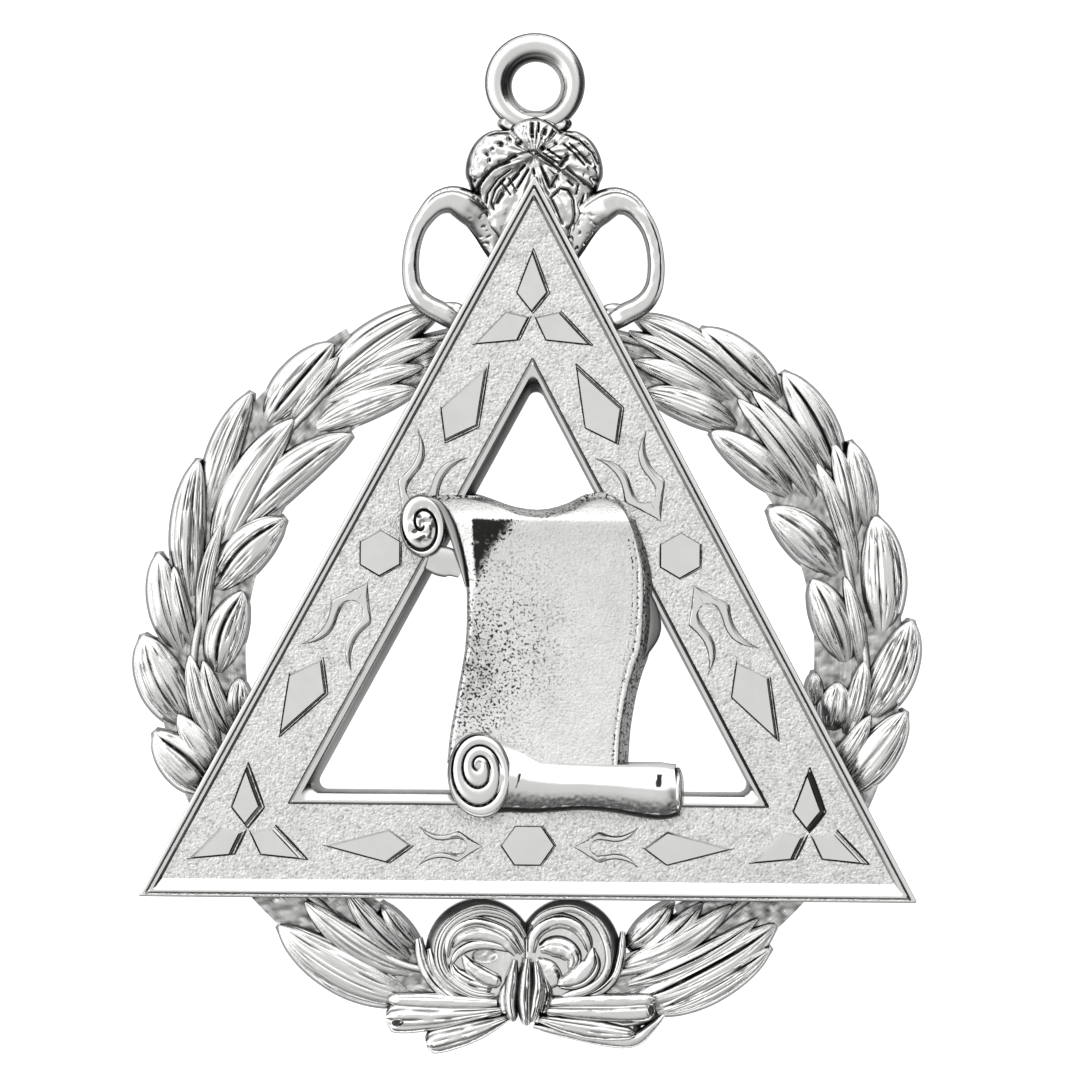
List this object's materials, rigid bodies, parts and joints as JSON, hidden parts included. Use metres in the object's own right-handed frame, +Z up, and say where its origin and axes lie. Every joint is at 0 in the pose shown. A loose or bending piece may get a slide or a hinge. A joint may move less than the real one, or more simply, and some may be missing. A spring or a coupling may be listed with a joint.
{
  "type": "collar jewel",
  "caption": "Cast metal collar jewel: a partly rolled scroll on an open triangle with raised ornaments, in a tied laurel wreath, under a fluted crest with a suspension ring.",
  "frame": {"origin": "middle of the footprint, on the flat backs of the wreath, with the jewel lying face up", "axes": "+Z up out of the face, +Y from the bow towards the suspension ring, +X to the viewer's right of the face"},
  "size_m": [0.0631, 0.0816, 0.0066],
  "materials": {
    "silver_plate": "bright rhodium or silver plate over cast brass, stippled between the polished ornaments"
  },
  "bodies": {
    "root": {"wreath": "silver_plate", "hanger": "silver_plate", "triangle": "silver_plate", "scroll": "silver_plate"}
  },
  "joints": []
}
